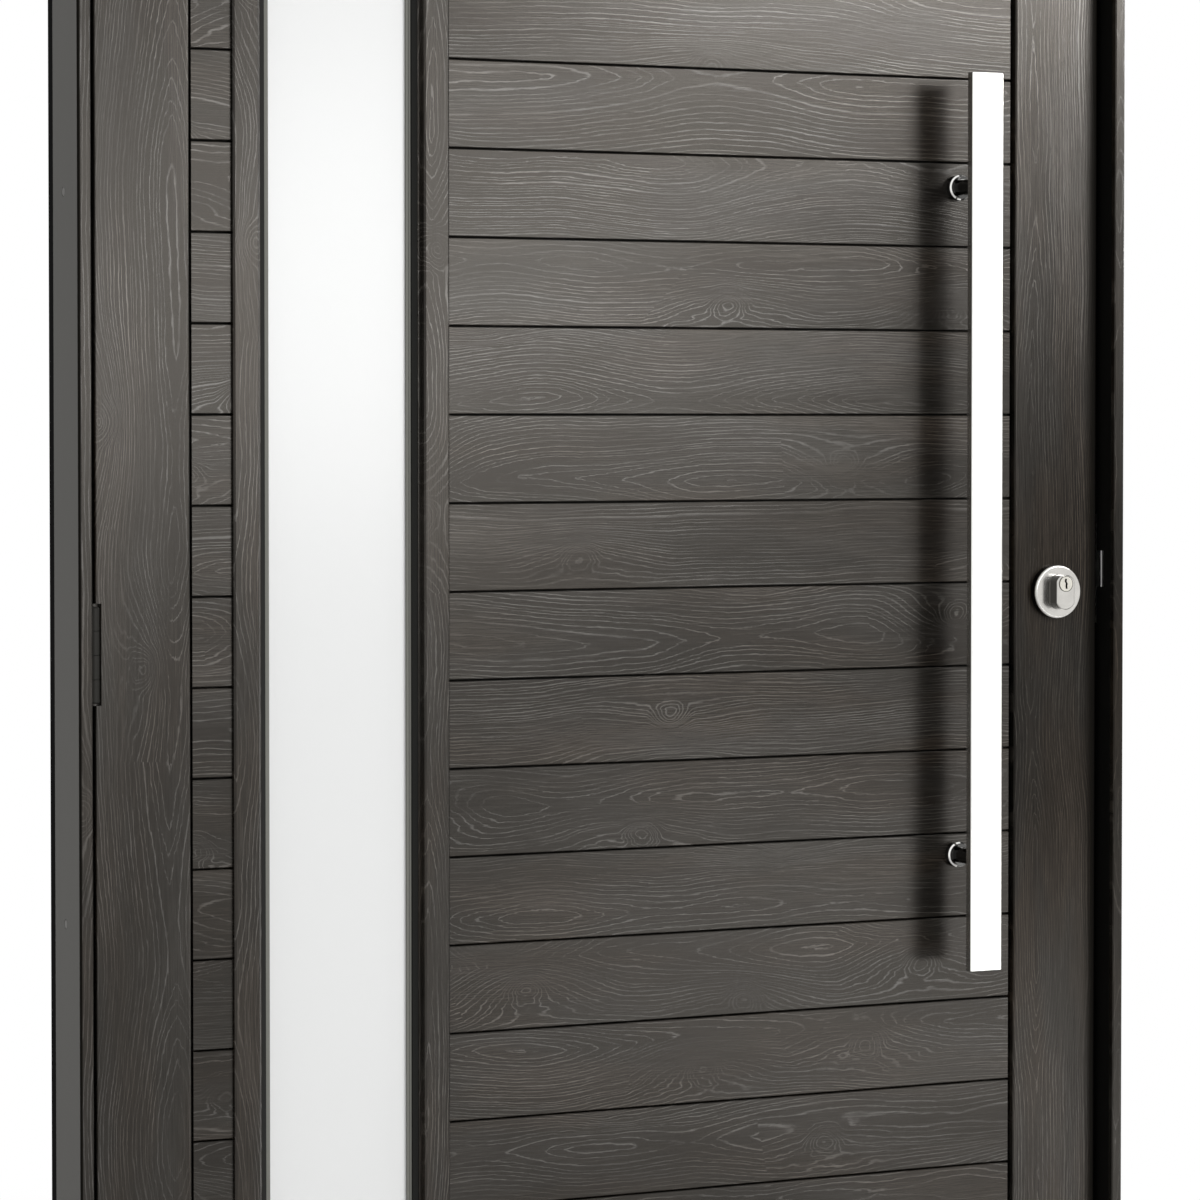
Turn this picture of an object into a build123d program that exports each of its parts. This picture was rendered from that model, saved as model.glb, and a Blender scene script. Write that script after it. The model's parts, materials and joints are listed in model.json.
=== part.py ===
from build123d import *

import os

# Outward-opening entrance door: aluminium frame and leaf core, faced with stained timber boards.
# X runs along its width, +Y points indoors and Z up. All sizes are in millimetres.
# The origin is in the middle of the threshold's underside.

# Frame
FRAME_WIDTH = 1000.0
FRAME_HEIGHT = 2100.0
PROFILE_DEPTH = 71.0
FRAME_FACE = 10.0
STOP_WIDTH = 24.0
FACING_DEPTH = 6.0
FACING_EASE = 1.0
SEAL_WIDTH = 11.5
SEAL_DEPTH = 3.0
THRESHOLD_HEIGHT = 20.0
THRESHOLD_STOP = 34.0
NOSE_HEIGHT = 12.0
NOSE_SLOPE = 19.5
FIXING_HOLE = 8.0
FIXING_END = 150.0
FIXING_COUNT = 4

# Clearances round the leaf
LEAF_GAP = 6.0
HINGE_GAP = 9.5
REBATE_GAP = 5.0
GASKET_INSET = 1.0
SOFT_CLEARANCE = 0.3

# Leaf
LEAF_RECESS = 21.5
BOARD_DEPTH = 14.0
CORE_DEPTH = 22.0
STILE_WIDTH = 86.8
RAIL_WIDTH = 86.0
BOARD_EASE = 2.0

# Horizontal planks between the stiles
PLANK_COUNT = 25
PLANK_RECESS = 4.5
PLANK_GAP = 1.3
PLANK_EASE = 0.7
STILE_GAP = 3.2
TRIM_GAP = 0.3
NARROW_COLUMN = 38.7

# Glazed slot, its rebated timber trim and its rubbers
SLOT_WIDTH = 196.0
TRIM_WIDTH = 26.4
TRIM_EASE = 1.5
LIP_WIDTH = 3.0
LIP_DEPTH = 7.4
GLASS_BITE = 5.4
GLASS_CLEARANCE = 3.0
PANE_DEPTH = 4.0
SPACER_WIDTH = 9.0
GLAZING_SEAL_WIDTH = 4.4
GLAZING_SEAL_PROUD = 6.2
GLAZING_SEAL_FALL = 1.7
GASKET_WIDTH = 4.0
GASKET_PROUD = 3.0
GASKET_LIP = 1.6
GASKET_STEP = 0.7

# Barrel hinges in the reveal
HINGE_LOW = 250.0
HINGE_MIDDLE = 971.7
HINGE_FROM_TOP = 250.0
BARREL_RADIUS = 5.5
BARREL_EASE = 1.2
BARREL_CLEARANCE = 1.0
AXIS_PROUD = 3.0
KNUCKLE_COUNT = 4
KNUCKLE_HEIGHT = 19.4
KNUCKLE_GAP = 0.5
PIN_RADIUS = 2.5
PIN_CLEARANCE = 0.05
HINGE_PLATE = 3.0
HINGE_PLATE_REACH = 24.0
NOTCH_CLEARANCE = 2.3
NOTCH_EASE = 0.8

# Pull bar
PULL_LENGTH = 800.0
PULL_CENTRES = 600.0
PULL_WIDTH = 32.0
PULL_DEPTH = 9.0
PULL_STANDOFF = 44.0
PULL_HEIGHT = 1072.0
PULL_SETBACK = 58.2
PULL_EASE = 0.8
POST_RADIUS = 7.2
COLLAR_RADIUS = 11.5
COLLAR_DEPTH = 7.0
COLLAR_EASE = 1.4
COLLAR_RING = 8.9
COLLAR_RING_DEPTH = 1.6

# Lock
LOCK_HEIGHT = 1007.5
LOCK_BACKSET = 45.0
ROSETTE_RADIUS = 24.5
ROSETTE_DEPTH = 8.0
ROSETTE_EASE = 2.0
CYLINDER_WIDTH = 18.5
CYLINDER_HEIGHT = 31.5
CYLINDER_SIDE = 20.0
CYLINDER_PROUD = 12.5
CYLINDER_EASE = 0.6
CYLINDER_FIT = 0.25
PLUG_RADIUS = 7.2
PLUG_RISE = 7.6
PLUG_PROUD = 0.6
PLUG_DEPTH = 10.0
KEYWAY_WIDTH = 2.0
KEYWAY_DEPTH = 6.0
KEYWAY_LINE = ((-0.2, 4.7), (-0.7, 2.2), (0.5, 0.3), (0.1, -1.8), (0.4, -4.4))
TURN_WIDTH = 8.0
TURN_HEIGHT = 28.0
TURN_DEPTH = 16.0
FACEPLATE_WIDTH = 20.0
FACEPLATE_DEPTH = 3.0
FACEPLATE_ABOVE = 170.0
FACEPLATE_BELOW = 60.0
BOLT_WIDTH = 12.0
BOLT_HEIGHT = 30.0
BOLT_LENGTH = 9.0
BOLT_FIT = 0.25
LATCH_RISE = 20.0
SECOND_BOLT_RISE = 110.0
STRIKE_DEPTH = 1.5
STRIKE_HEIGHT = 100.0
STRIKE_WIDTH = 20.0
STRIKE_LIP = 33.0
STRIKE_LIP_REACH = 3.5
STRIKE_POCKET = 5.0

# Lever on the inner face
LEVER_RISE = 92.0
LEVER_NECK_RADIUS = 9.0
LEVER_STANDOFF = 38.0
LEVER_LENGTH = 122.0
LEVER_GRIP = 20.0
LEVER_DEPTH = 10.0
LEVER_EASE = 3.0

# Planes across the depth, from outside to inside
profile_front = -PROFILE_DEPTH / 2
profile_back = PROFILE_DEPTH / 2
facing_front = profile_front - FACING_DEPTH
leaf_front = facing_front + LEAF_RECESS
plank_front = leaf_front + PLANK_RECESS
board_back = leaf_front + BOARD_DEPTH
core_back = board_back + CORE_DEPTH
stop_front = core_back + REBATE_GAP
leaf_back = profile_back
inner_plank_face = leaf_back - PLANK_RECESS

# Lines across the width
frame_side = FRAME_WIDTH / 2
jamb_inner = frame_side - FRAME_FACE
stop_inner = frame_side - STOP_WIDTH
leaf_side = jamb_inner - LEAF_GAP
hinge_edge = -jamb_inner + HINGE_GAP
inner_side = stop_inner - LEAF_GAP
stile_inner = leaf_side - STILE_WIDTH
slot_left = -stile_inner + NARROW_COLUMN
slot_right = slot_left + SLOT_WIDTH
glass_left = slot_left + TRIM_WIDTH - GLASS_BITE
glass_right = slot_right - TRIM_WIDTH + GLASS_BITE
seal_seat = GLASS_BITE + SOFT_CLEARANCE
gasket_seat = seal_seat + GLAZING_SEAL_WIDTH + SOFT_CLEARANCE
hinge_x = -jamb_inner + BARREL_CLEARANCE + BARREL_RADIUS
hinge_y = leaf_front - AXIS_PROUD
barrel_reach = BARREL_RADIUS + NOTCH_CLEARANCE
lock_x = leaf_side - LOCK_BACKSET
pull_x = stile_inner - PULL_SETBACK

# Lines up the height
leaf_bottom = THRESHOLD_HEIGHT + LEAF_GAP
leaf_top = FRAME_HEIGHT - FRAME_FACE - LEAF_GAP
inner_bottom = THRESHOLD_STOP + LEAF_GAP
inner_top = FRAME_HEIGHT - STOP_WIDTH - LEAF_GAP
planks_bottom = leaf_bottom + RAIL_WIDTH
planks_top = leaf_top - RAIL_WIDTH
plank_pitch = (planks_top - planks_bottom) / PLANK_COUNT
glass_bottom = planks_bottom + TRIM_WIDTH - GLASS_BITE
glass_top = planks_top - TRIM_WIDTH + GLASS_BITE
knuckle_pitch = KNUCKLE_HEIGHT + KNUCKLE_GAP
barrel_height = KNUCKLE_COUNT * knuckle_pitch - KNUCKLE_GAP
hinge_heights = (HINGE_LOW, HINGE_MIDDLE, FRAME_HEIGHT - HINGE_FROM_TOP)
latch_height = LOCK_HEIGHT + LATCH_RISE
lever_height = LOCK_HEIGHT + LEVER_RISE

nodes = {}


def block(x, y, z):
    """Box between the (low, high) limits given along X, Y and Z."""
    limits = (x, y, z)
    centre = [(low + high) / 2 for low, high in limits]
    return Pos(*centre) * Box(*[high - low for low, high in limits])


def prism(points, direction, length):
    """Straight bar with the closed outline of points, drawn out along direction."""
    face = Face(Wire.make_polygon([Vector(*point) for point in points], close=True))
    return extrude(face, length, dir=direction)


def bar_up(outline, z):
    """Upright bar: outline of (x, y) points between the limits z."""
    return prism([(x, y, z[0]) for x, y in outline], (0, 0, 1), z[1] - z[0])


def bar_across(outline, x):
    """Level bar: outline of (y, z) points between the limits x."""
    return prism([(x[0], y, z) for y, z in outline], (1, 0, 0), x[1] - x[0])


def slab(outline, y):
    """Upright slab: outline of (x, z) points between the limits y."""
    return prism([(x, y[0], z) for x, z in outline], (0, 1, 0), y[1] - y[0])


def eased(low, high, face, back, ease):
    """Board section from low to high, its two long edges eased on the face side."""
    inward = ease if back > face else -ease
    return [
        (low, back),
        (low, face + inward),
        (low + ease, face),
        (high - ease, face),
        (high, face + inward),
        (high, back),
    ]


def upright_board(x, face, back, z):
    """Board on end, with its two front edges rounded."""
    board = block(x, sorted((face, back)), z)
    return fillet(edges_at(board, face).filter_by(Axis.Z), BOARD_EASE)


def level_board(x, face, back, z):
    """Board lying level, with its two front edges rounded."""
    board = block(x, sorted((face, back)), z)
    return fillet(edges_at(board, face).filter_by(Axis.X), BOARD_EASE)


def disc(x, z, radius, y):
    """Round bar along Y, centred on x and z, between the limits y."""
    return along_y(x, z, Circle(radius), y)


def along_y(x, z, outline, y):
    """Bar along Y with the given flat outline, centred on x and z, between the limits y."""
    return Pos(x, y[0], z) * Rot(-90, 0, 0) * extrude(outline, y[1] - y[0])


def edges_at(solid, y):
    """Edges of a solid that lie in the plane at depth y."""
    return solid.edges().filter_by_position(Axis.Y, y, y)


def mitred_jamb(side, y):
    """Upright piece of the frame's corner outline, mitred at the head, on the -1 or +1 side."""
    outline = [
        (side * frame_side, 0),
        (side * stop_inner, 0),
        (side * stop_inner, FRAME_HEIGHT - STOP_WIDTH),
        (side * frame_side, FRAME_HEIGHT),
    ]
    return slab(outline, y)


def mitred_head(y):
    """Level piece of the frame's corner outline, mitred at both ends."""
    outline = [
        (-frame_side, FRAME_HEIGHT),
        (-stop_inner, FRAME_HEIGHT - STOP_WIDTH),
        (stop_inner, FRAME_HEIGHT - STOP_WIDTH),
        (frame_side, FRAME_HEIGHT),
    ]
    return slab(outline, y)


def fixing_heights():
    """Heights of the fixing holes in each jamb, evenly spaced."""
    step = (FRAME_HEIGHT - 2 * FIXING_END) / (FIXING_COUNT - 1)
    return [FIXING_END + step * index for index in range(FIXING_COUNT)]


def strike_shape():
    """Strike plate let into the lock jamb, with the lip that reaches past the leaf's face."""
    x = (jamb_inner, jamb_inner + STRIKE_DEPTH)
    middle = (leaf_front + core_back) / 2
    back = middle + STRIKE_WIDTH / 2
    plate = block(x, (middle - STRIKE_WIDTH / 2, back), around(latch_height, STRIKE_HEIGHT))
    lip = block(x, (leaf_front - STRIKE_LIP_REACH, back), around(latch_height, STRIKE_LIP))
    return plate + lip


def around(middle, length):
    """Limits of a length centred on middle."""
    return (middle - length / 2, middle + length / 2)


def make_frame():
    """Jambs and head of angled aluminium profile, threshold, facings and seals."""
    depth = (profile_front, profile_back)
    seal_y = (profile_back - SEAL_WIDTH, profile_back)
    seal_inner = frame_side - SEAL_DEPTH
    seal = block((-frame_side, frame_side), seal_y, (0, FRAME_HEIGHT))
    seal -= block((-seal_inner, seal_inner), seal_y, (0, FRAME_HEIGHT - SEAL_DEPTH))
    nodes["wall_seal"] = seal

    rebate = block(
        (-jamb_inner, jamb_inner), (profile_front, stop_front), (0, FRAME_HEIGHT - FRAME_FACE)
    )
    hole_y = (leaf_front + core_back) / 2
    strike = strike_shape()
    latch_hole = block(
        (jamb_inner, jamb_inner + STRIKE_POCKET),
        around(hole_y, BOLT_WIDTH + 2 * BOLT_FIT),
        around(latch_height, BOLT_HEIGHT + 2 * BOLT_FIT),
    )
    for side, name in ((-1, "hinge_jamb"), (1, "lock_jamb")):
        jamb = mitred_jamb(side, depth) - rebate - seal
        for height in fixing_heights():
            hole = Rot(0, 90, 0) * Cylinder(FIXING_HOLE / 2, 2 * STOP_WIDTH)
            jamb -= Pos(side * frame_side, hole_y, height) * hole
        if side > 0:
            jamb = jamb - strike - latch_hole
        nodes[name] = jamb
    nodes["strike_plate"] = strike - latch_hole
    nodes["head"] = mitred_head(depth) - rebate - seal

    sill = [
        (facing_front, 0),
        (facing_front, NOSE_HEIGHT),
        (facing_front + NOSE_SLOPE, THRESHOLD_HEIGHT),
        (stop_front, THRESHOLD_HEIGHT),
        (stop_front, THRESHOLD_STOP),
        (profile_back, THRESHOLD_STOP),
        (profile_back, 0),
    ]
    threshold = bar_across(sill, (-jamb_inner, jamb_inner))
    for side in (-1, 1):
        ends = sorted((side * stop_inner, side * jamb_inner))
        threshold -= block(ends, (stop_front, profile_back), (0, THRESHOLD_STOP))
    nodes["threshold"] = threshold

    gasket_y = (core_back + SOFT_CLEARANCE, stop_front)
    outer = leaf_side - GASKET_INSET
    inner = stop_inner + GASKET_INSET
    gasket = block(
        (-outer, outer), gasket_y, (leaf_bottom + GASKET_INSET, leaf_top - GASKET_INSET)
    )
    gasket -= block(
        (-inner, inner),
        gasket_y,
        (THRESHOLD_STOP - GASKET_INSET, FRAME_HEIGHT - STOP_WIDTH + GASKET_INSET),
    )
    nodes["rebate_gasket"] = gasket


def make_facings():
    """Narrow timber strips on the front of the jambs and head, eased and mitred."""
    depth = (facing_front, profile_front)
    for side, name in ((-1, "hinge_jamb_facing"), (1, "lock_jamb_facing")):
        x = sorted((side * frame_side, side * jamb_inner))
        strip = bar_up(eased(x[0], x[1], depth[0], depth[1], FACING_EASE), (0, FRAME_HEIGHT))
        nodes[name] = strip & mitred_jamb(side, depth)
    section = eased(FRAME_HEIGHT - FRAME_FACE, FRAME_HEIGHT, depth[0], depth[1], FACING_EASE)
    strip = bar_across([(y, z) for z, y in section], (-frame_side, frame_side))
    nodes["head_facing"] = strip & mitred_head(depth)


def cylinder_shape(fit, y):
    """Lock cylinder between the limits y: flat sides and arched ends, grown by fit all round."""
    half = CYLINDER_WIDTH / 2 + fit
    top = CYLINDER_HEIGHT / 2 + fit
    shoulder = CYLINDER_SIDE / 2
    outline = Line((-half, -shoulder), (-half, shoulder))
    outline += ThreePointArc((-half, shoulder), (0, top), (half, shoulder))
    outline += Line((half, shoulder), (half, -shoulder))
    outline += ThreePointArc((half, -shoulder), (0, -top), (-half, -shoulder))
    return along_y(lock_x, LOCK_HEIGHT, make_face(outline.edges()), y)


def cylinder_bore(y):
    """Hole for the lock cylinder through the boards and profiles of the leaf."""
    return cylinder_shape(CYLINDER_FIT, y)


def faceplate_shape():
    """Lock faceplate, let flush into the leaf's edge."""
    middle = (leaf_front + core_back) / 2
    z = (LOCK_HEIGHT - FACEPLATE_BELOW, LOCK_HEIGHT + FACEPLATE_ABOVE)
    return block((leaf_side - FACEPLATE_DEPTH, leaf_side), around(middle, FACEPLATE_WIDTH), z)


def bolt_shapes(fit):
    """Ends of the two bolts behind the faceplate, grown by fit all round."""
    x = (leaf_side - BOLT_LENGTH - fit, leaf_side)
    y = around((leaf_front + core_back) / 2, BOLT_WIDTH + 2 * fit)
    return [
        block(x, y, around(LOCK_HEIGHT + rise, BOLT_HEIGHT + 2 * fit))
        for rise in (LATCH_RISE, SECOND_BOLT_RISE)
    ]


def make_core():
    """Aluminium profiles round the leaf's edge and the infill that carries the boards."""
    depth = (board_back, core_back)
    tall = (leaf_bottom, leaf_top)
    lock_profile = block((stile_inner, leaf_side), depth, tall)
    lock_profile = lock_profile - cylinder_bore(depth) - faceplate_shape()
    for bolt in bolt_shapes(BOLT_FIT):
        lock_profile -= bolt
    nodes["leaf_lock_profile"] = lock_profile
    nodes["leaf_hinge_profile"] = block((hinge_edge, -stile_inner), depth, tall)
    between = (-stile_inner, stile_inner)
    infill_bottom = glass_bottom - GLASS_CLEARANCE
    infill_top = glass_top + GLASS_CLEARANCE
    nodes["leaf_bottom_profile"] = block(between, depth, (leaf_bottom, infill_bottom))
    nodes["leaf_top_profile"] = block(between, depth, (infill_top, leaf_top))
    infill = (infill_bottom, infill_top)
    narrow = block((-stile_inner, glass_left - GLASS_CLEARANCE), depth, infill)
    wide = block((glass_right + GLASS_CLEARANCE, stile_inner), depth, infill)
    nodes["leaf_infill"] = Compound(children=[narrow, wide])


def plank_column(ends, face, back):
    """One level plank for each course of the leaf, with a shadow gap between courses."""
    column = []
    for course in range(PLANK_COUNT):
        bottom = planks_bottom + course * plank_pitch + PLANK_GAP / 2
        section = eased(bottom, bottom + plank_pitch - PLANK_GAP, face, back, PLANK_EASE)
        column.append(bar_across([(y, z) for z, y in section], ends))
    return column


def plank_columns(face, back):
    """Narrow planks between hinge stile and slot, and wide ones between slot and lock stile."""
    narrow = plank_column((-stile_inner + STILE_GAP, slot_left - TRIM_GAP), face, back)
    wide = plank_column((slot_right + TRIM_GAP, stile_inner - STILE_GAP), face, back)
    return narrow, wide


def mitred_bars(outline, x, z):
    """Four bars of one section round the rectangle x by z, mitred at its corners.

    The section's (across, depth) points are measured inwards from the rectangle.
    """
    reach = max(across for across, depth in outline)
    depths = [depth for across, depth in outline]
    span = (min(depths), max(depths))
    bars = {
        "left": bar_up([(x[0] + across, depth) for across, depth in outline], z),
        "right": bar_up([(x[1] - across, depth) for across, depth in outline], z),
        "bottom": bar_across([(depth, z[0] + across) for across, depth in outline], x),
        "top": bar_across([(depth, z[1] - across) for across, depth in outline], x),
    }
    outer = {"low": z[0], "high": z[1], "left": x[0], "right": x[1]}
    inner = {
        "low": z[0] + reach,
        "high": z[1] - reach,
        "left": x[0] + reach,
        "right": x[1] - reach,
    }
    mitres = {}
    for side in ("left", "right"):
        mitres[side] = [
            (outer[side], outer["low"]),
            (inner[side], inner["low"]),
            (inner[side], inner["high"]),
            (outer[side], outer["high"]),
        ]
    for side, level in (("bottom", "low"), ("top", "high")):
        mitres[side] = [
            (outer["left"], outer[level]),
            (outer["right"], outer[level]),
            (inner["right"], inner[level]),
            (inner["left"], inner[level]),
        ]
    return {side: bars[side] & slab(mitres[side], span) for side in bars}


def mitred_ring(outline, x, z):
    """The four mitred bars joined into one ring."""
    bars = mitred_bars(outline, x, z)
    return bars["left"] + bars["right"] + bars["bottom"] + bars["top"]


def slot_trim(face, back):
    """The four mitred trim pieces: eased flat face, then a step down to a narrow lip."""
    inward = 1 if back > face else -1
    flat = TRIM_WIDTH - LIP_WIDTH
    outline = [
        (0, back),
        (0, face + inward * TRIM_EASE),
        (TRIM_EASE, face),
        (flat - TRIM_EASE, face),
        (flat, face + inward * TRIM_EASE),
        (flat, face + inward * LIP_DEPTH),
        (TRIM_WIDTH, face + inward * LIP_DEPTH),
        (TRIM_WIDTH, back),
    ]
    return mitred_bars(outline, (slot_left, slot_right), (planks_bottom, planks_top))


def hinge_notch(height):
    """Recess in the hinge stile that the barrel stands in."""
    z = around(height, barrel_height + 2 * NOTCH_CLEARANCE)
    return block((hinge_edge, hinge_x + barrel_reach), (leaf_front, hinge_y + barrel_reach), z)


def make_outer_face():
    """Timber boards on the weather side: stiles, rails, planks and slot trim."""
    tall = (leaf_bottom, leaf_top)
    hinge_stile = upright_board((hinge_edge, -stile_inner), leaf_front, board_back, tall)
    for height in hinge_heights:
        hinge_stile -= hinge_notch(height)
    notch_side = hinge_x + barrel_reach
    notch_edges = edges_at(hinge_stile, leaf_front).filter_by(Axis.Z)
    notch_edges = notch_edges.filter_by_position(Axis.X, notch_side, notch_side)
    nodes["outer_hinge_stile"] = chamfer(notch_edges, NOTCH_EASE)
    lock_stile = upright_board((stile_inner, leaf_side), leaf_front, board_back, tall)
    lock_stile = lock_stile - cylinder_bore((leaf_front, board_back)) - faceplate_shape()
    for bolt in bolt_shapes(BOLT_FIT):
        lock_stile -= bolt
    nodes["outer_lock_stile"] = lock_stile
    between = (-stile_inner, stile_inner)
    rails = [
        level_board(between, leaf_front, board_back, z)
        for z in ((leaf_bottom, planks_bottom), (planks_top, leaf_top))
    ]
    nodes["outer_rails"] = Compound(children=rails)
    narrow, wide = plank_columns(plank_front, board_back)
    nodes["outer_narrow_planks"] = Compound(children=narrow)
    nodes["outer_wide_planks"] = Compound(children=wide)
    for side, piece in slot_trim(leaf_front, board_back).items():
        nodes["outer_trim_" + side] = piece


def make_inner_face():
    """The same boards repeated on the room side, set inside the frame's stop."""
    tall = (inner_bottom, inner_top)
    bore = cylinder_bore((core_back, leaf_back))
    stiles = []
    for side in (-1, 1):
        x = sorted((side * inner_side, side * stile_inner))
        stiles.append(upright_board(x, leaf_back, core_back, tall) - bore)
    nodes["inner_stiles"] = Compound(children=stiles)
    between = (-stile_inner, stile_inner)
    rails = [
        level_board(between, leaf_back, core_back, z)
        for z in ((inner_bottom, planks_bottom), (planks_top, inner_top))
    ]
    nodes["inner_rails"] = Compound(children=rails)
    narrow, wide = plank_columns(inner_plank_face, core_back)
    nodes["inner_planks"] = Compound(children=narrow + wide)
    trim = slot_trim(leaf_back, core_back)
    nodes["inner_trim"] = trim["left"] + trim["right"] + trim["bottom"] + trim["top"]


def ring(x, y, z, width):
    """Rectangular ring of the given width inside the limits x and z."""
    hole = block((x[0] + width, x[1] - width), y, (z[0] + width, z[1] - width))
    return block(x, y, z) - hole


def rubber_ring(section, seat, glass, outward):
    """Ring of rubber on the glass face, inside its edge by seat; section heights point outward."""
    outline = [(across, glass + outward * height) for across, height in section]
    x = (glass_left + seat, glass_right - seat)
    z = (glass_bottom + seat, glass_top - seat)
    return mitred_ring(outline, x, z)


def make_glazing():
    """Two panes, the spacer between them, and the sloped seal and stepped gasket on each face."""
    x = (glass_left, glass_right)
    z = (glass_bottom, glass_top)
    panes = [
        block(x, (board_back, board_back + PANE_DEPTH), z),
        block(x, (core_back - PANE_DEPTH, core_back), z),
    ]
    nodes["glass_panes"] = Compound(children=panes)
    cavity = (board_back + PANE_DEPTH, core_back - PANE_DEPTH)
    nodes["glass_spacer"] = ring(x, cavity, z, SPACER_WIDTH)
    seal = [
        (0, 0),
        (0, GLAZING_SEAL_PROUD),
        (GLAZING_SEAL_WIDTH, GLAZING_SEAL_PROUD - GLAZING_SEAL_FALL),
        (GLAZING_SEAL_WIDTH, 0),
    ]
    gasket = [
        (0, 0),
        (0, GASKET_PROUD),
        (GASKET_LIP, GASKET_PROUD),
        (GASKET_LIP, GASKET_PROUD - GASKET_STEP),
        (GASKET_WIDTH, GASKET_PROUD - GASKET_STEP),
        (GASKET_WIDTH, 0),
    ]
    faces = ((board_back, -1), (core_back, 1))
    seals = [rubber_ring(seal, seal_seat, glass, outward) for glass, outward in faces]
    gaskets = [rubber_ring(gasket, gasket_seat, glass, outward) for glass, outward in faces]
    nodes["glazing_seals"] = Compound(children=seals)
    nodes["glazing_gaskets"] = Compound(children=gaskets)


def knuckle(z, radius):
    """Round length of the hinge barrel between the limits z."""
    return Pos(hinge_x, hinge_y, z[0]) * extrude(Circle(radius), z[1] - z[0])


def hinge_half(height, x, first):
    """One half of a hinge: its plate between the limits x, and every second knuckle from first."""
    low, high = around(height, barrel_height)
    half = block(x, (hinge_y + barrel_reach, hinge_y + HINGE_PLATE_REACH), (low, high))
    for index in range(first, KNUCKLE_COUNT, 2):
        bottom = low + index * knuckle_pitch
        z = (bottom, bottom + KNUCKLE_HEIGHT)
        barrel = knuckle(z, BARREL_RADIUS)
        for index_at_end, tip in ((0, z[0]), (KNUCKLE_COUNT - 1, z[1])):
            if index == index_at_end:
                barrel = chamfer(barrel.edges().filter_by_position(Axis.Z, tip, tip), BARREL_EASE)
        half += barrel + block(x, (hinge_y, hinge_y + barrel_reach), z)
    return half


def make_hinges():
    """Three barrel hinges: knuckles on jamb and leaf in turn from the bottom, on the jamb's pin."""
    frame_x = (-jamb_inner, -jamb_inner + HINGE_PLATE)
    leaf_x = (hinge_edge - HINGE_PLATE, hinge_edge)
    frame_parts = []
    leaf_parts = []
    for height in hinge_heights:
        span = around(height, barrel_height)
        frame_parts.append(hinge_half(height, frame_x, 0) + knuckle(span, PIN_RADIUS))
        bore = knuckle(span, PIN_RADIUS + PIN_CLEARANCE)
        leaf_parts.append(hinge_half(height, leaf_x, 1) - bore)
    nodes["frame_hinges"] = Compound(children=frame_parts)
    nodes["leaf_hinges"] = Compound(children=leaf_parts)


def make_pull_bar():
    """Flat steel pull bar on two round posts with wider collars at the planks."""
    back = plank_front - PULL_STANDOFF
    bar = block(
        around(pull_x, PULL_WIDTH), (back - PULL_DEPTH, back), around(PULL_HEIGHT, PULL_LENGTH)
    )
    nodes["pull_bar"] = chamfer(bar.edges(), PULL_EASE)
    collar_y = (plank_front - COLLAR_DEPTH, plank_front)
    posts = []
    for height in around(PULL_HEIGHT, PULL_CENTRES):
        collar = disc(pull_x, height, COLLAR_RADIUS, collar_y)
        collar = chamfer(edges_at(collar, collar_y[0]), COLLAR_EASE)
        collar += disc(pull_x, height, COLLAR_RING, (collar_y[0] - COLLAR_RING_DEPTH, collar_y[0]))
        posts.append(collar + disc(pull_x, height, POST_RADIUS, (back, plank_front)))
    nodes["pull_bar_posts"] = Compound(children=posts)


def rosette(height, y, face):
    """Round plate between the limits y, its rim rounded at depth face."""
    plate = disc(lock_x, height, ROSETTE_RADIUS, y)
    return fillet(edges_at(plate, face), ROSETTE_EASE)


def make_lock():
    """Oval cylinder in round plates, its plug, the turn indoors, and the edge furniture."""
    plate_front = leaf_front - ROSETTE_DEPTH
    plate_back = leaf_back + ROSETTE_DEPTH
    outside = (plate_front, leaf_front)
    inside = (leaf_back, plate_back)
    nodes["lock_rosette"] = rosette(LOCK_HEIGHT, outside, plate_front) - cylinder_bore(outside)
    inner_plate = rosette(LOCK_HEIGHT, inside, plate_back) - cylinder_bore(inside)
    lever_plate = rosette(lever_height, inside, plate_back)
    nodes["inner_rosettes"] = Compound(children=[inner_plate, lever_plate])

    face = plate_front - CYLINDER_PROUD
    body = cylinder_shape(0, (face, plate_back))
    body = chamfer(edges_at(body, face), CYLINDER_EASE)
    plug_height = LOCK_HEIGHT + PLUG_RISE
    plug_y = (face - PLUG_PROUD, face + PLUG_DEPTH)
    plug = disc(lock_x, plug_height, PLUG_RADIUS, plug_y)
    nodes["lock_cylinder"] = body - plug
    line = [(lock_x + across, plug_height + rise) for across, rise in KEYWAY_LINE]
    keyway = [(x - KEYWAY_WIDTH / 2, z) for x, z in line]
    keyway += [(x + KEYWAY_WIDTH / 2, z) for x, z in reversed(line)]
    nodes["key_plug"] = plug - slab(keyway, (plug_y[0], plug_y[0] + KEYWAY_DEPTH))
    turn_y = (plate_back, plate_back + TURN_DEPTH)
    turn = along_y(lock_x, LOCK_HEIGHT, SlotOverall(TURN_HEIGHT, TURN_WIDTH, rotation=90), turn_y)
    nodes["thumb_turn"] = chamfer(edges_at(turn, turn_y[1]), CYLINDER_EASE)

    faceplate = faceplate_shape()
    for cut in bolt_shapes(BOLT_FIT):
        faceplate -= cut
    nodes["lock_faceplate"] = faceplate
    nodes["lock_bolts"] = Compound(children=bolt_shapes(0))


def make_lever():
    """Lever on the room side, pointing to the hinges."""
    plate_back = leaf_back + ROSETTE_DEPTH
    grip_y = (plate_back + LEVER_STANDOFF, plate_back + LEVER_STANDOFF + LEVER_DEPTH)
    grip = block(
        (lock_x - LEVER_LENGTH, lock_x + LEVER_GRIP / 2),
        grip_y,
        around(lever_height, LEVER_GRIP),
    )
    grip = fillet(grip.edges(), LEVER_EASE)
    neck = disc(lock_x, lever_height, LEVER_NECK_RADIUS, (plate_back, grip_y[0] + LEVER_EASE))
    nodes["lever_handle"] = grip + neck


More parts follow.
